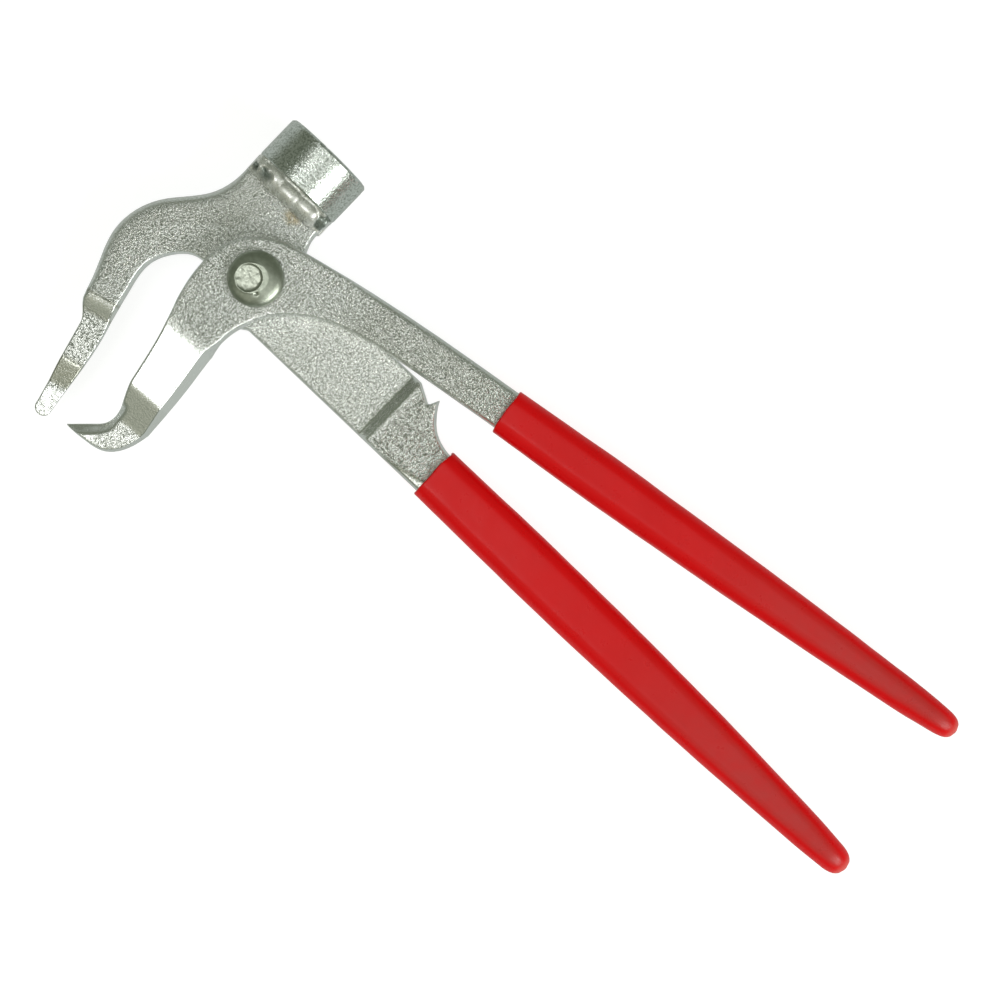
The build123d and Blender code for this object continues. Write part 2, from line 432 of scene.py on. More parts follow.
def front_draft(place, out):
    """Lean of the walls and the height where the lever is widest: low on the jaw, halfway elsewhere.

    The jaw leans most on the side away from the blade.
    """
    jaw = smooth(-17, -23, place[:, 1])
    side = smooth(0.0, 0.5, 0.85 * out[0] - 0.35 * out[1])
    lean = (1 - jaw) * DRAFT + jaw * (0.05 + 0.12 * side)
    return lean, (2.5 - 5.5 * jaw) * MM


def front_top_radius(place, out):
    """Wide rounding along the upper edge of the handle, crisp round the jaw."""
    x, y = place[:, 0], place[:, 1]
    handle = smooth(12, 24, x) * smooth(0.2, 0.8, out[1])
    below = smooth(0.0, 0.8, -out[1]) * smooth(2, 10, x)
    jaw = smooth(-18, -24, y)
    hook = smooth(-43, -49, y)
    disc = smooth(-14, -6, y) * smooth(16, 8, x)
    radius = 0.85 + 1.2 * handle + 0.3 * below + 0.55 * disc - 0.4 * jaw - 0.2 * hook
    return radius * MM


def front_bottom_radius(place, out):
    hook = smooth(-43, -50, place[:, 1])
    return (0.5 - 0.35 * hook) * MM


def front_rough(place, out):
    """The jaw's long facet is nearly smooth, and so are the steep one below it and the hook's bevel."""
    x, y = place[:, 0], place[:, 1]
    along = y - 0.052 * x
    facet = smooth(-18.5, -25.0, along)
    steep = smooth(-39.6, -40.6, along)
    hook = smooth(-48.2, -49.2, along)
    bevel = hook * smooth(-1.9, -3.2, x - 0.15 * (y + 54)) * smooth(-59.5, -57.5, y)
    handle = smooth(16, 30, x)
    grain = 0.9 - 0.82 * facet + 0.14 * steep + 0.1 * hook - 0.2 * bevel
    pits = 0.95 - 0.85 * facet + 0.04 * steep + 0.65 * hook - 0.7 * bevel
    wave = SLOW_WAVE * (1 - 0.7 * facet)
    # Painted shade: the zinc is darkened along the handle and on the steep facet below the jaw.
    painted_shade = 0.3 * handle + 0.12 * steep
    return wave * MM, np.clip(grain, 0.05, 2.0), np.clip(pits, 0.04, 2.0), painted_shade


# ---------------------------------------------------------------- round and lofted forms

def skin_between(name, rings):
    """Closed mesh through rings of equal numbers of points, with both ends capped."""
    form = bmesh.new()
    rows = [[form.verts.new(p) for p in ring] for ring in rings]
    for low, high in zip(rows, rows[1:]):
        for k in range(len(low)):
            n = (k + 1) % len(low)
            form.faces.new((low[k], low[n], high[n], high[k]))
    for row in (rows[0], rows[-1]):
        middle = form.verts.new(sum((v.co for v in row), Vector()) / len(row))
        for k in range(len(row)):
            form.faces.new((row[k], row[(k + 1) % len(row)], middle))
    bmesh.ops.recalc_face_normals(form, faces=form.faces)
    mesh = bpy.data.meshes.new(name)
    form.to_mesh(mesh)
    form.free()
    shade_smooth(mesh)
    return mesh


def finer(points, step):
    """The same line through more points, no further apart than the step."""
    out = [points[0]]
    for a, b in zip(points, points[1:]):
        count = max(1, math.ceil(math.dist(a, b) / step))
        out += [tuple(p + (q - p) * k / count for p, q in zip(a, b)) for k in range(1, count + 1)]
    return out


def arc(middle, radius, start, end, count=8):
    angles = [math.radians(start + (end - start) * k / count) for k in range(count + 1)]
    return [(middle[0] + radius * math.cos(a), middle[1] + radius * math.sin(a)) for a in angles]


# ---------------------------------------------------------------- vinyl grips

GRIP_ROUND = 4.0 * MM        # rounding along the edges of a grip
GRIP_WALL = 1.15 * MM
GRIP_RING_STEP = 1.0 * MM
CORNER_POINTS = 11           # round each corner of a grip's section
SIDE_POINTS = 8              # along each side of it
LIP = 0.45 * MM              # rounding of the vinyl's mouth
MOUTH_WAVE = 0.3 * MM
MOUTH_DEPTH = 2.5 * MM       # how far the vinyl's inner wall is seen into the mouth
MOUTH_PLAY = 0.1 * MM        # how far the lip stands off the steel
SETTLED_RINGS = 6            # rings over which the unevenness of the mouth dies away
TIP_LENGTH = 9.0 * MM        # stretch over which a grip gets thinner to its end
TIP_THIN = 0.72              # share of the thickness lost at the very end
TIP_RINGS = 26
END_GAP = 0.05 * MM          # between the end of the grip and its CAD node's
THINNEST = 0.02 * MM         # half width that closes the end


def section(half_width, half_height, radius):
    """Rounded rectangle, as (across, up) pairs, always with the same number of points."""
    radius = min(radius, 0.97 * half_width, 0.97 * half_height)
    x, y = half_width - radius, half_height - radius
    outline = []
    for sx, sy, start in ((1, 1, 0), (-1, 1, 90), (-1, -1, 180), (1, -1, 270)):
        outline += arc((sx * x, sy * y), radius, start, start + 90, CORNER_POINTS)
        nx, ny = ((-x, y), (-x, -y), (x, -y), (x, y))[start // 90]
        last = outline[-1]
        goal = arc((nx, ny), radius, start + 90, start + 90, 1)[0]
        for k in range(1, SIDE_POINTS):
            share = k / SIDE_POINTS
            outline.append((last[0] + (goal[0] - last[0]) * share, last[1] + (goal[1] - last[1]) * share))
    return outline


class Handle:
    """Middle line and half widths of a grip, measured on its CAD node."""

    def __init__(self, node, turn):
        mesh = NODES[node].data
        pts = points_of(mesh)
        self.tree = ray_tree(mesh)
        self.along = Vector((math.cos(turn), math.sin(turn), 0.0))
        self.across = Vector((-math.sin(turn), math.cos(turn), 0.0))
        run = (pts - np.array(PIVOT)) @ np.array(self.along)
        self.start, self.end = float(run.min()), float(run.max())
        side = (pts - np.array(PIVOT)) @ np.array(self.across)
        self.offset = float(side.max() + side.min()) / 2
        self.low, self.high = float(pts[:, 2].min()), float(pts[:, 2].max())

    def place(self, run, side=0.0, up=0.0):
        middle = PIVOT + self.along * run + self.across * (self.offset + side)
        return Vector((middle.x, middle.y, (self.low + self.high) / 2 + up))

    def half_width(self, run):
        far = self.place(run, 50 * MM)
        hit = self.tree.ray_cast(far, -self.across)[0]
        return (hit - self.place(run)).dot(self.across) if hit else 0.05 * MM


def vinyl_grip(node, turn, seed):
    """Dipped vinyl: an uneven mouth, soft edges, and a thinner end where the last drop set."""
    handle = Handle(node, turn)
    height = (handle.high - handle.low) / 2
    last = handle.end - END_GAP
    body = np.arange(handle.start + 1.2 * MM, last - TIP_LENGTH, GRIP_RING_STEP)
    tip = last - TIP_LENGTH * np.cos(np.linspace(0, math.pi / 2, TIP_RINGS))
    rings = []

    def ring(run, shrink, wave):
        at = max(run, handle.start + 0.3 * MM)
        width = handle.half_width(at) - shrink
        late = max(0.0, (run - (last - TIP_LENGTH)) / TIP_LENGTH)
        tall = height * (1.0 - TIP_THIN * (1.0 - math.sqrt(max(0.0, 1.0 - late ** 2)))) - shrink
        shape = section(max(width, THINNEST), tall, GRIP_ROUND - 0.6 * shrink)
        points = []
        for k, (side, up) in enumerate(shape):
            turn_here = 2 * math.pi * k / len(shape)
            wobble = noise.noise(Vector((1.6 * math.cos(turn_here), 1.6 * math.sin(turn_here), seed)))
            points.append(handle.place(run + wave * wobble * MOUTH_WAVE, side, up))
        rings.append(points)

    ring(handle.start + MOUTH_DEPTH, GRIP_WALL + 0.3 * MM, 1.0)
    ring(handle.start + 0.6 * MM, GRIP_WALL + 0.02 * MM, 1.0)
    for side, ahead in arc((0.0, 0.0), LIP, 180, 90, 6):
        ring(handle.start + LIP - ahead, GRIP_WALL - MOUTH_PLAY - LIP - side, 1.0)
    for side, ahead in arc((0.0, 0.0), LIP, 90, 0, 6):
        ring(handle.start + LIP - ahead, LIP - side, 1.0)
    for k, run in enumerate(body):
        ring(float(run), 0.0, max(0.0, 1.0 - k / SETTLED_RINGS))
    for run in tip:
        ring(float(run), 0.0, 0.0)
    mesh = skin_between(node + "_vinyl", rings)
    points = points_of(mesh)
    ease = noise_at(points, 16 * MM, seed) + 0.5 * noise_at(points, 6 * MM, seed + 4)
    put_points(mesh, points - normals_of(mesh) * (0.10 * MM * np.clip(0.6 + ease, 0, 2))[:, None])
    run = (points - np.array(PIVOT)) @ np.array(handle.along)
    # Painted highlight: a lighter pink over the last few millimetres of the grip, where the last drop
    # set.
    set_number(mesh, "drip_highlight", smooth(last - 2.6 * MM, last - 0.8 * MM, run))
    level = smooth(0.80, 0.98, np.abs(normals_of(mesh)[:, 2]))
    # Painted sheen: a pinkish, greyer red on the flat faces, growing towards the end of the grip.
    set_number(mesh, "painted_sheen", 0.75 * level * smooth(last - 90 * MM, last - 20 * MM, run))
    return new_piece("vinyl_" + node, mesh)


# ---------------------------------------------------------------- hammer

HAMMER_BASE_ROUND = 0.5 * MM
HAMMER_CHAMFER = 0.8 * MM
HAMMER_CHAMFER_ROUND = 0.4 * MM
HAMMER_STEP = 0.35 * MM      # between the rings of its mesh
HAMMER_SPOKES = 240
HUB = 0.4 * MM               # radius of the innermost ring on each end
DENT = 0.28 * MM             # deepest dents round the striking face


def hammer():
    """Turned steel slug, its face chamfered and a little battered."""
    low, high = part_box("hammer_head")
    radius = (high.z - low.z) / 2 - 0.02 * MM
    length = high.y - low.y
    inner = length - HAMMER_CHAMFER
    soft = HAMMER_CHAMFER_ROUND
    line = [(HUB, 0.0), (radius - HAMMER_BASE_ROUND, 0.0)]
    line += arc((radius - HAMMER_BASE_ROUND, HAMMER_BASE_ROUND), HAMMER_BASE_ROUND, -90, 0)
    line += arc((radius - soft, inner), soft, 0, 45, 5)
    line += arc((radius - HAMMER_CHAMFER, length - soft), soft, 45, 90, 5)
    line += [(HUB, length)]
    angles = [2 * math.pi * k / HAMMER_SPOKES for k in range(HAMMER_SPOKES)]
    rings = [[Vector((r * math.cos(a), y, r * math.sin(a))) for a in angles]
             for r, y in finer(line, HAMMER_STEP)]
    mesh = skin_between("hammer", rings)
    points = points_of(mesh) + np.array(((low.x + high.x) / 2, low.y, (low.z + high.z) / 2))
    put_points(mesh, points)
    rim = smooth(length - 2.4 * MM, length - 0.8 * MM, points[:, 1] - low.y)
    dents = np.clip(noise_at(points, 2.6 * MM, 2.0) - 0.15, 0, 1) * rim * DENT
    ripple = 0.01 * MM * (1.0 + noise_at(points, 5.0 * MM, 6.0))
    put_points(mesh, points - normals_of(mesh) * (dents + ripple)[:, None])
    return new_piece("turned_hammer", mesh)


# ---------------------------------------------------------------- weld

# Puddles of the front bead, each lying over the start of the next: the middle of its fat end from
# the pivot in mm, along X, along Y and up, then its radius. They run on to a blob at the end, and
# small craters pit the start.
PUDDLES = [
    (-19.4, 21.3, 1.0, 2.5),
    (-13.9, 21.5, 1.2, 3.25),
    (-8.3, 21.0, 0.9, 3.4),
    (-2.6, 21.3, 0.7, 3.3),
]
PUDDLE_TAIL = 2.8            # how much longer than its radius a puddle is towards its start
END_BLOB = (1.1, 22.2, 0.1, 2.5)
CRATERS = [
    (-20.3, 20.7, 2.0, 0.7),
    (-17.7, 20.9, 3.6, 0.4),
    (-17.0, 19.9, 2.9, 0.35),
    (-16.0, 20.6, 3.6, 0.3),
]
CRATER_SHADE_REACH = 0.12           # how far the painted shade spreads beyond a crater
BLOB_SHADE_REACH = 0.6              # and the painted dark reflection beyond the blob
FLANK_Y = 18.9               # where the bead's flat flank starts on the neck
FLANK_FACING = (-4.1 / 6.09, 4.5 / 6.09)     # along Y and up
FLANK_SUNK = 0.4             # how far in the flank lies, so that the puddles stand out of it
FUSION = 0.2                 # fillet between one puddle and the next
TOE = 17.95                  # where the bead's thin edge ends on the neck
TOE_TOP = 0.05
TOE_FILLET = 1.8
ROOT = 0.35                  # how deep the bead goes into the neck and into the hammer
WELD_VOXEL = 0.17 * MM


def weld(node, side):
    """Weld bead of overlapping puddles, with a blob at its end; side is 1 in front, -1 behind."""
    skin = voxel_copy(NODES[node].data, WELD_VOXEL)
    low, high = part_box("hammer_head")
    base_y = (low.y - PIVOT.y) / MM
    middle_x = ((low.x + high.x) / 2 - PIVOT.x) / MM
    radius = (high.x - low.x) / 2 / MM

    def field(at):
        place = from_pivot(at)
        x, y, z = place.T
        if side < 0:
            z = 2 * LAP_MIDDLE - z
            x = 2 * middle_x - x
        bead = (y - FLANK_Y) * FLANK_FACING[0] + z * FLANK_FACING[1] + FLANK_SUNK
        for px, py, pz, size in PUDDLES:
            ahead = x - px
            run = np.where(ahead < 0, ahead / PUDDLE_TAIL, ahead)
            reach = np.sqrt(run ** 2 + (y - py) ** 2 + (z - pz) ** 2) - size
            bead = smooth_min(bead, reach, FUSION)
        bead = np.maximum(smooth_min(bead, z - TOE_TOP, TOE_FILLET), TOE - y)
        rim = np.hypot(x - middle_x, z - LAP_MIDDLE) - (radius - 0.15)
        bead = round_max(bead, rim, 0.4)
        px, py, pz, size = END_BLOB
        blob = np.sqrt((x - px) ** 2 + (y - py) ** 2 + (z - pz) ** 2) - size
        bead = smooth_min(bead, blob, FUSION)
        for px, py, pz, size in CRATERS:
            hole = size - np.sqrt((x - px) ** 2 + (y - py) ** 2 + (z - pz) ** 2)
            bead = round_max(bead, hole, 0.12)
        bead = np.maximum(bead, -ROOT - z)
        return np.maximum(bead, y - base_y - ROOT) * MM

    points = settle(points_of(skin), field, 14)
    put_points(skin, points)
    uneven = 0.03 * MM * noise_at(points, 3.0 * MM, 3.3)
    put_points(skin, points + normals_of(skin) * uneven[:, None])
    place = from_pivot(points)
    # Painted shade: the craters are darkened as hollows, and the blob at the end is darkened as a painted
    # dark reflection.
    bead_painted_shade = np.zeros(len(points))
    if side > 0:
        spots = [(crater, CRATER_SHADE_REACH) for crater in CRATERS] + [(END_BLOB, BLOB_SHADE_REACH)]
        for (px, py, pz, size), reach in spots:
            away = np.sqrt(((place - (px, py, pz)) ** 2).sum(1))
            bead_painted_shade = np.maximum(bead_painted_shade, smooth(size + reach, size + 0.3 * reach, away))
    set_number(skin, "bead_painted_shade", bead_painted_shade)
    shade_smooth(skin)
    return new_piece(node.replace("weld_bead", "bead"), skin)


# ---------------------------------------------------------------- rivet

# In millimetres, with places on a head from its middle.
STRUCK_R = 3.5               # flat left by the punch
STRUCK_AT = (-1.1, -1.0)
STRUCK_AT_BACK = (0.7, -0.4)
STRUCK_SUNK = 0.42           # below the top of the dome
CRESCENT = 0.3               # height of the metal pushed up beside the flat
CRESCENT_TURN = math.radians(20)
NICK_AT = (2.9, -2.6)
NICK_DEPTH = 0.3
DOME_R = 7.05
DOME_RIM = 1.0               # height of the head at its rim
HEAD_TALL = 3.1
SHANK_R = 3.95
RIM_STEPS = ((0.35, 0.0), (0.08, 0.02), (0.0, 0.12))    # height and inset down the rim to the seat
HEAD_RINGS = 72
HEAD_SPOKES = 180


def head_height(x, y, struck):
    """Height of a struck dome above its seat, in millimetres."""
    out = math.hypot(x, y) / DOME_R
    bulge = math.sqrt(max(0.0, 1.0 - min(out, 1.0) ** 2.2))
    dome = min(DOME_RIM + (HEAD_TALL + 0.25 - DOME_RIM) * bulge, HEAD_TALL)
    dx, dy = x - struck[0], y - struck[1]
    away = math.hypot(dx, dy)
    inside = float(smooth(STRUCK_R + 0.25, STRUCK_R - 0.35, away))
    height = dome * (1 - inside) + min(dome, HEAD_TALL - STRUCK_SUNK) * inside
    crescent = 0.45 + 0.55 * math.cos(math.atan2(dy, dx) - CRESCENT_TURN)
    height += CRESCENT * crescent * math.exp(-((away - STRUCK_R) / 0.42) ** 2)
    height -= NICK_DEPTH * math.exp(-(math.hypot(x - NICK_AT[0], y - NICK_AT[1]) / 0.5) ** 2)
    broad = noise.noise(Vector((x * 0.6, y * 0.6, 4.0)))
    fine = noise.noise(Vector((x * 1.6, y * 1.6, 9.0)))
    height += inside * 0.08 * (broad + 0.4 * fine)
    return min(height, HEAD_TALL)


def rivet():
    """Both heads and the shank between them, as one closed mesh."""
    low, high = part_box("pivot_rivet")
    centre = (low + high) / 2
    angles = [2 * math.pi * k / HEAD_SPOKES for k in range(HEAD_SPOKES)]

    def ring(radius, up):
        """Circle of points; up gives the height at each place from the head's middle."""
        spokes = [(radius * math.cos(a), radius * math.sin(a)) for a in angles]
        return [Vector((centre.x + x * MM, centre.y + y * MM, up(x, y))) for x, y in spokes]

    def head(seat, side, struck):
        """Rings from the top of a head down to its seat on the shank; side is 1 in front, -1 behind."""
        radii = [DOME_R * math.sin(math.pi / 2 * k / HEAD_RINGS) for k in range(1, HEAD_RINGS + 1)]
        rings = [ring(r, lambda x, y: seat + side * head_height(x, y, struck) * MM) for r in radii]
        for drop, inset in RIM_STEPS:
            height = seat + side * drop * MM
            rings.append(ring(DOME_R - inset, lambda x, y: height))
        rings.append(ring(SHANK_R, lambda x, y: seat))
        return rings

    front = head(high.z - HEAD_TALL * MM, 1, STRUCK_AT)
    back = head(low.z + HEAD_TALL * MM, -1, STRUCK_AT_BACK)
    rings = front + back[::-1]
    mesh = skin_between("rivet", rings)
    place = from_pivot(points_of(mesh))
    away = np.hypot(place[:, 0] - STRUCK_AT[0], place[:, 1] - STRUCK_AT[1])
    set_number(mesh, "struck", smooth(STRUCK_R + 0.4, STRUCK_R - 0.9, away) * (place[:, 2] > 0))
    return new_piece("struck_rivet", mesh)


# ---------------------------------------------------------------- materials

ZINC = (0.93, 0.95, 0.93, 1)
ZINC_CLOUDED = (0.80, 0.82, 0.76, 1)
# painted shade on the forged zinc
ZINC_PAINTED_SHADE = (0.46, 0.47, 0.40, 1)
ZINC_PIT = (0.29, 0.32, 0.27, 1)
HEAT_STAIN = (0.66, 0.53, 0.29, 1)
TURNED = (0.74, 0.78, 0.75, 1)
TURNED_CLOUDED = (0.60, 0.63, 0.55, 1)
TURNED_SPECK = (0.24, 0.28, 0.23, 1)
WELD_METAL = (0.80, 0.81, 0.77, 1)
WELD_CLOUDED = (0.60, 0.61, 0.55, 1)
# painted shade in the weld's craters and painted dark reflection on its end blob
WELD_PAINTED_SHADE = (0.12, 0.16, 0.135, 1)
NICKEL = (0.46, 0.50, 0.42, 1)
NICKEL_CLOUDED = (0.36, 0.39, 0.32, 1)
NICKEL_STRUCK = (0.55, 0.58, 0.50, 1)
NICKEL_MOTTLE = (0.34, 0.38, 0.31, 1)
VINYL = (0.80, 0.002, 0.004, 1)
VINYL_DARK = (0.72, 0.002, 0.003, 1)
# painted highlight on the drip at each grip's end
VINYL_DRIP_HIGHLIGHT = (0.72, 0.13, 0.11, 1)
# painted sheen on the grips' flat faces
VINYL_PAINTED_SHEEN = (0.56, 0.05, 0.047, 1)


class Finish:
    """A material whose node tree is built by short calls, with its lumps in millimetres."""

    def __init__(self, name):
        self.material = bpy.data.materials.new(name)
        self.material.use_nodes = True
        self.tree = self.material.node_tree
        self.shader = self.tree.nodes["Principled BSDF"]
        coordinates = self.tree.nodes.new("ShaderNodeTexCoord")
        scale = self.tree.nodes.new("ShaderNodeMapping")
        scale.inputs["Scale"].default_value = (1000, 1000, 1000)
        self.tree.links.new(coordinates.outputs["Object"], scale.inputs["Vector"])
        self.millimetres = scale.outputs["Vector"]

    def node(self, kind, **sockets):
        node = self.tree.nodes.new(kind)
        for name, value in sockets.items():
            self.plug(value, node.inputs[name.replace("_", " ")])
        return node

    def plug(self, value, socket):
        if isinstance(value, bpy.types.NodeSocket):
            self.tree.links.new(value, socket)
        else:
            socket.default_value = value

    def noise(self, lump, detail=2.0, rough=0.5):
        """Noise with lumps of that size in millimetres, 0 to 1."""
        node = self.node("ShaderNodeTexNoise", Vector=self.millimetres, Scale=1.0 / lump, Detail=detail,
                         Roughness=rough)
        return node.outputs["Fac"]

    def ramp(self, value, low, high, to_low=0.0, to_high=1.0):
        node = self.tree.nodes.new("ShaderNodeMapRange")
        for socket, given in zip(node.inputs, (value, low, high, to_low, to_high)):
            self.plug(given, socket)
        return node.outputs["Result"]

    def maths(self, kind, a, b):
        node = self.tree.nodes.new("ShaderNodeMath")
        node.operation = kind
        self.plug(a, node.inputs[0])
        self.plug(b, node.inputs[1])
        return node.outputs[0]

    def mix(self, share, first, second):
        node = self.tree.nodes.new("ShaderNodeMix")
        node.data_type = "RGBA"
        self.plug(share, node.inputs["Factor"])
        self.plug(first, node.inputs["A"])
        self.plug(second, node.inputs["B"])
        return node.outputs["Result"]

    def bump(self, height, distance, under=None, strength=1.0):
        """Bump of that depth in millimetres."""
        node = self.tree.nodes.new("ShaderNodeBump")
        self.plug(height, node.inputs["Height"])
        self.plug(strength, node.inputs["Strength"])
        node.inputs["Distance"].default_value = distance * MM
        if under is not None:
            self.plug(under, node.inputs["Normal"])
        return node.outputs["Normal"]

    def number(self, name):
        node = self.tree.nodes.new("ShaderNodeAttribute")
        node.attribute_name = name
        return node.outputs["Fac"]

    def set(self, name, value):
        self.plug(value, self.shader.inputs[name])

    def wear(self, obj):
        obj.data.materials.clear()
        obj.data.materials.append(self.material)


def forged_finish():
    """Bright zinc over a forged skin, pitted where the skin is rough, with painted shade in its hollows
    and along some edges, and a heat stain by the weld.
    """
    finish = Finish("zinc_on_forged_steel")
    grain = finish.number("grain")
    pits = finish.number("pits")
    blotch = finish.ramp(finish.noise(9.0, 4.0, 0.6), 0.35, 0.7)
    colour = finish.mix(finish.maths("MULTIPLY", blotch, 0.3), ZINC, ZINC_CLOUDED)
    # Painted shade: darker zinc mixed in by the number that each lever's roughening gives for its coves,
    # edges, shoulder, recess and handle.
    colour = finish.mix(finish.number("painted_shade"), colour, ZINC_PAINTED_SHADE)
    pit = finish.ramp(finish.noise(0.55, 2.0, 0.7), 0.52, 0.60)
    dark = finish.maths("MULTIPLY", finish.maths("MULTIPLY", pit, pits), 0.6)
    colour = finish.mix(dark, colour, ZINC_PIT)
    patch = finish.ramp(finish.noise(1.4, 3.0, 0.6), 0.25, 0.60)
    stain = finish.maths("MULTIPLY", finish.maths("MULTIPLY", patch, finish.number("stain")), 0.7)
    colour = finish.mix(stain, colour, HEAT_STAIN)
    finish.set("Base Color", colour)
    finish.set("Metallic", 1.0)
    finish.set("Roughness", finish.ramp(finish.noise(1.3, 3.0, 0.6), 0.3, 0.7, 0.17, 0.28))
    sunk = finish.bump(finish.ramp(pit, 0.0, 1.0, 1.0, 0.0), 0.07, strength=pits)
    coarse = finish.bump(finish.noise(0.52, 3.0, 0.65), 0.46, under=sunk, strength=grain)
    finish.set("Normal", finish.bump(finish.noise(0.28, 2.0, 0.6), 0.15, under=coarse, strength=grain))
    return finish


def turned_finish():
    finish = Finish("zinc_on_turned_steel")
    blotch = finish.ramp(finish.noise(5.0, 3.0, 0.6), 0.35, 0.7)
    colour = finish.mix(finish.maths("MULTIPLY", blotch, 0.3), TURNED, TURNED_CLOUDED)
    speck = finish.ramp(finish.noise(0.52, 2.0, 0.7), 0.48, 0.58)
    colour = finish.mix(finish.maths("MULTIPLY", speck, 0.6), colour, TURNED_SPECK)
    finish.set("Base Color", colour)
    finish.set("Metallic", 1.0)
    finish.set("Roughness", finish.ramp(finish.noise(0.9, 3.0, 0.6), 0.3, 0.7, 0.11, 0.18))
    coarse = finish.bump(finish.noise(0.45, 2.0, 0.6), 0.085)
    finish.set("Normal", finish.bump(finish.noise(0.24, 2.0, 0.6), 0.04, under=coarse))
    return finish


def weld_finish():
    finish = Finish("weld_metal")
    blotch = finish.ramp(finish.noise(1.8, 3.0, 0.6), 0.4, 0.65)
    colour = finish.mix(blotch, WELD_METAL, WELD_CLOUDED)
    # Painted shade in the craters and painted dark reflection on the end blob.
    colour = finish.mix(finish.maths("MULTIPLY", finish.number("bead_painted_shade"), 0.8), colour, WELD_PAINTED_SHADE)
    finish.set("Base Color", colour)
    finish.set("Metallic", 0.6)
    finish.set("Roughness", finish.ramp(finish.noise(0.8, 2.0), 0.3, 0.7, 0.22, 0.36))
    finish.set("Normal", finish.bump(finish.noise(0.7, 2.0, 0.6), 0.02))
    return finish


def rivet_finish():
    finish = Finish("nickel_on_rivet")
    blotch = finish.ramp(finish.noise(2.2, 3.0, 0.6), 0.35, 0.7)
    colour = finish.mix(blotch, NICKEL, NICKEL_CLOUDED)
    colour = finish.mix(finish.maths("MULTIPLY", finish.number("struck"), 0.85), colour, NICKEL_STRUCK)
    mottle = finish.ramp(finish.noise(1.1, 3.0, 0.65), 0.42, 0.62)
    colour = finish.mix(finish.maths("MULTIPLY", mottle, 0.3), colour, NICKEL_MOTTLE)
    finish.set("Base Color", colour)
    finish.set("Metallic", 1.0)
    finish.set("Roughness", finish.ramp(finish.noise(0.7, 3.0, 0.6), 0.3, 0.7, 0.30, 0.42))
    coarse = finish.bump(finish.noise(0.8, 2.0, 0.55), 0.035)
    finish.set("Normal", finish.bump(finish.noise(0.25, 2.0, 0.6), 0.012, under=coarse))
    return finish


def vinyl_finish():
    finish = Finish("red_vinyl")
    drip_highlight = finish.number("drip_highlight")
    blotch = finish.ramp(finish.noise(14.0, 3.0, 0.55), 0.35, 0.7)
    colour = finish.mix(finish.maths("MULTIPLY", blotch, 0.5), VINYL, VINYL_DARK)
    # Painted highlight: lighter pink on the drip at the end of the grip.
    colour = finish.mix(finish.maths("MULTIPLY", drip_highlight, 0.75), colour, VINYL_DRIP_HIGHLIGHT)
    # Painted sheen: patchy pinkish red on the flat faces towards the end of the grip.
    sheen_patches = finish.ramp(finish.noise(5.0, 3.0, 0.55), 0.2, 0.6, 0.6, 1.0)
    colour = finish.mix(finish.maths("MULTIPLY", sheen_patches, finish.number("painted_sheen")), colour, VINYL_PAINTED_SHEEN)
    finish.set("Base Color", colour)
    finish.set("Roughness", finish.ramp(finish.noise(3.0, 3.0, 0.55), 0.3, 0.7, 0.26, 0.36))
    finish.set("Specular IOR Level", 0.25)
    coarse = finish.bump(finish.noise(4.5, 2.0, 0.5), 0.05)
    finish.set("Normal", finish.bump(finish.noise(0.35, 3.0, 0.6), 0.008, under=coarse))
    return finish


# ---------------------------------------------------------------- put together

REAR_TURN = 0.0              # of each handle, from +X
FRONT_TURN = math.radians(8.4)

rear_mouth = Handle("rear_grip", REAR_TURN).start
front_mouth = Handle("front_grip", FRONT_TURN).start
rear_steel = forge("rear_lever", rear_mouth, REAR_TURN, rear_draft, rear_top_radius, rear_bottom_radius,
                   rear_rough)
front_steel = forge("front_lever", front_mouth, FRONT_TURN, front_draft, front_top_radius,
                    front_bottom_radius, front_rough)

FINISHES = {
    "forged_steel": forged_finish(),
    "turned_steel": turned_finish(),
    "weld_metal": weld_finish(),
    "rivet_steel": rivet_finish(),
    "grip_vinyl": vinyl_finish(),
}
PIECES = [
    (rear_steel, "rear_lever", "rear", "forged_steel"),
    (front_steel, "front_lever", "front", "forged_steel"),
    (hammer(), "hammer_head", "rear", "turned_steel"),
    (weld("weld_bead_front", 1), "weld_bead_front", "rear", "weld_metal"),
    (weld("weld_bead_rear", -1), "weld_bead_rear", "rear", "weld_metal"),
    (rivet(), "pivot_rivet", "rear", "rivet_steel"),
    (vinyl_grip("rear_grip", REAR_TURN, 2.3), "rear_grip", "rear", "grip_vinyl"),
    (vinyl_grip("front_grip", FRONT_TURN, 7.1), "front_grip", "front", "grip_vinyl"),
]

for piece, node, body, slot in PIECES:
    FINISHES[slot].wear(piece)
    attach(piece, body)
    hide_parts(node)


# ---------------------------------------------------------------- floor, light and camera

FLOOR_SIZE = 8.0
FLOOR_GAP = 0.05 * MM        # below the part
FLOOR_GLOW = 0.84
FLOOR_TONES = ((0.40, 0.40, 0.40, 1), (0.38, 0.38, 0.38, 1))
CARD_DEPTH = 1.0 * MM        # below the floor
CARD_TONE = (0.47, 0.50, 0.47, 1)
WORLD_TONE = (0.19, 0.21, 0.165, 1)
WHITE = (1.0, 1.0, 1.0)
WARM = (1.0, 0.96, 0.82)

# Each light: name, tilt and heading in degrees, distance, width, height, radiance and colour
LIGHTS = [
    ("key", 13.2, -126, 3.0, 0.85, 0.62, 5.0, WHITE),
    ("ceiling", 8, 0, 4.2, 4.4, 2.6, 0.62, WHITE),
    ("side", 54, 0, 2.2, 0.72, 1.5, 6.8, WHITE),
    ("fill", 38, -90, 2.8, 2.4, 1.6, 0.29, WARM),
]


def flat_sheet(name, z):
    half = FLOOR_SIZE / 2
    mesh = bpy.data.meshes.new(name)
    corners = [(-half, -half, z), (half, -half, z), (half, half, z), (-half, half, z)]
    mesh.from_pydata(corners, [], [(0, 1, 2, 3)])
    sheet = new_piece(name, mesh)
    return sheet


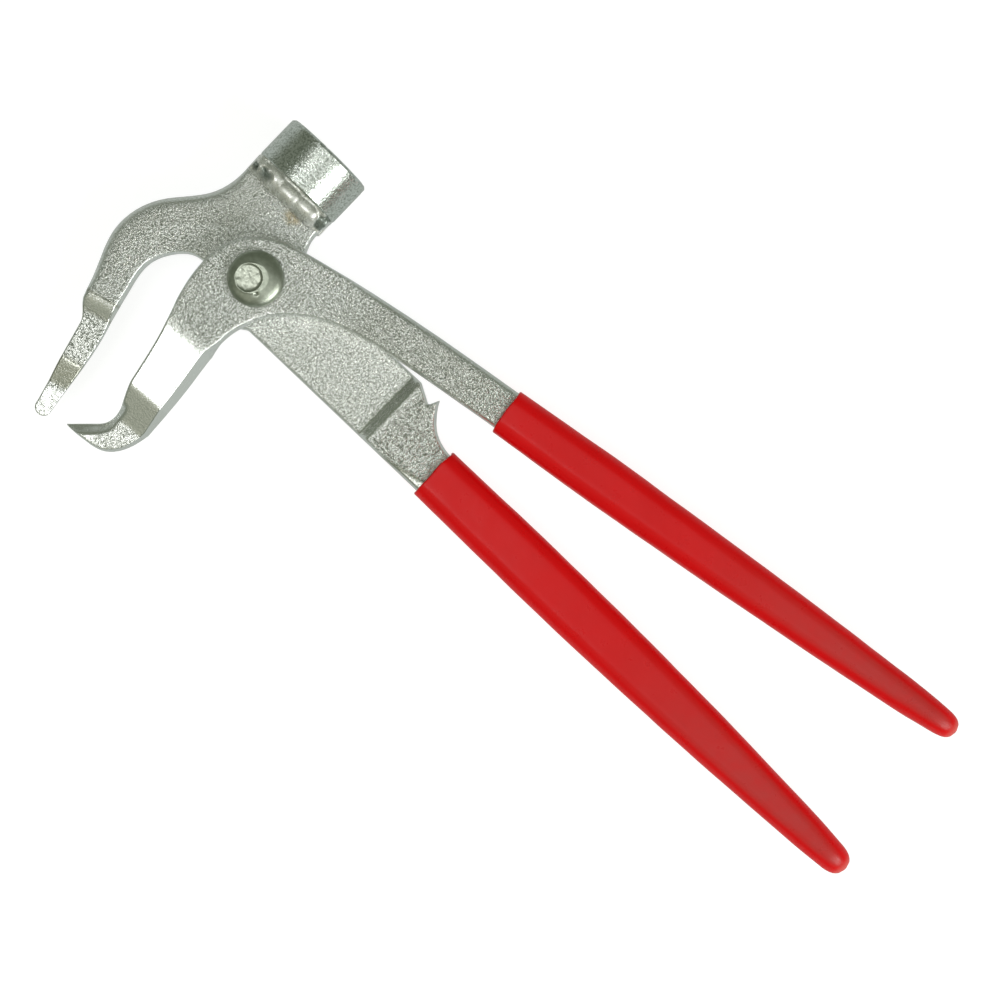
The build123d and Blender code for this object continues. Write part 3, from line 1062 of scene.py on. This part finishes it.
def pale_floor():
    """White table lit from within, with a greyer card that only the metal's reflections show."""
    ground = CAD_BOX[0].z - FLOOR_GAP
    floor = flat_sheet("floor", ground)
    floor.visible_glossy = False
    finish = Finish("pale_floor")
    tint = finish.ramp(finish.noise(160.0, 2.0), 0.3, 0.7, 0.0, 1.0)
    finish.set("Base Color", finish.mix(tint, *FLOOR_TONES))
    finish.set("Roughness", 0.9)
    finish.set("Specular IOR Level", 0.1)
    finish.set("Emission Color", (1.0, 1.0, 1.0, 1))
    finish.set("Emission Strength", FLOOR_GLOW)
    finish.wear(floor)
    card = flat_sheet("card", ground - CARD_DEPTH)
    card.visible_camera = False
    card.visible_diffuse = False
    card.visible_shadow = False
    finish = Finish("grey_card")
    finish.set("Base Color", (0.0, 0.0, 0.0, 1))
    finish.set("Specular IOR Level", 0.0)
    finish.set("Emission Color", CARD_TONE)
    finish.set("Emission Strength", 1.0)
    finish.wear(card)


def softbox(name, tilt, heading, distance, width, height, radiance, colour):
    """Light that looks at the pivot: tilt from straight up and heading from +X, in degrees.

    Its width lies along X, as far as the tilt lets it.
    """
    tilt, heading = math.radians(tilt), math.radians(heading)
    way = Vector((math.sin(tilt) * math.cos(heading), math.sin(tilt) * math.sin(heading), math.cos(tilt)))
    light = bpy.data.lights.new(name, "AREA")
    light.shape = "RECTANGLE"
    light.size = width
    light.size_y = height
    light.energy = radiance * math.pi * width * height
    light.color = colour
    lamp = bpy.data.objects.new(name, light)
    lamp.location = PIVOT + way * distance
    upright = way.cross(Vector((1, 0, 0))).normalized()
    lamp.rotation_euler = Matrix((upright.cross(way), upright, way)).transposed().to_euler()
    bpy.context.scene.collection.objects.link(lamp)


def surroundings():
    world = bpy.data.worlds.new("studio")
    world.use_nodes = True
    background = world.node_tree.nodes["Background"]
    background.inputs["Color"].default_value = WORLD_TONE
    background.inputs["Strength"].default_value = 1.0
    bpy.context.scene.world = world


CAMERA_HEIGHT = 600 * MM
CAMERA_OVER = (81.4 * MM, 2.4 * MM)
CAMERA_TURN = math.radians(43.86)
VIEW_WIDTH = 250 * MM        # what the picture spans in the lap plane
SENSOR = 36.0


def camera():
    data = bpy.data.cameras.new("camera")
    data.sensor_width = SENSOR
    data.lens = SENSOR * CAMERA_HEIGHT / VIEW_WIDTH
    data.clip_start = 0.01
    data.clip_end = 50.0
    eye = bpy.data.objects.new("camera", data)
    eye.location = PIVOT + Vector((CAMERA_OVER[0], CAMERA_OVER[1], CAMERA_HEIGHT))
    eye.rotation_euler = (0.0, 0.0, CAMERA_TURN)
    bpy.context.scene.collection.objects.link(eye)
    bpy.context.scene.camera = eye


pale_floor()
for light in LIGHTS:
    softbox(*light)
surroundings()
camera()
bpy.context.scene.view_settings.view_transform = "Standard"
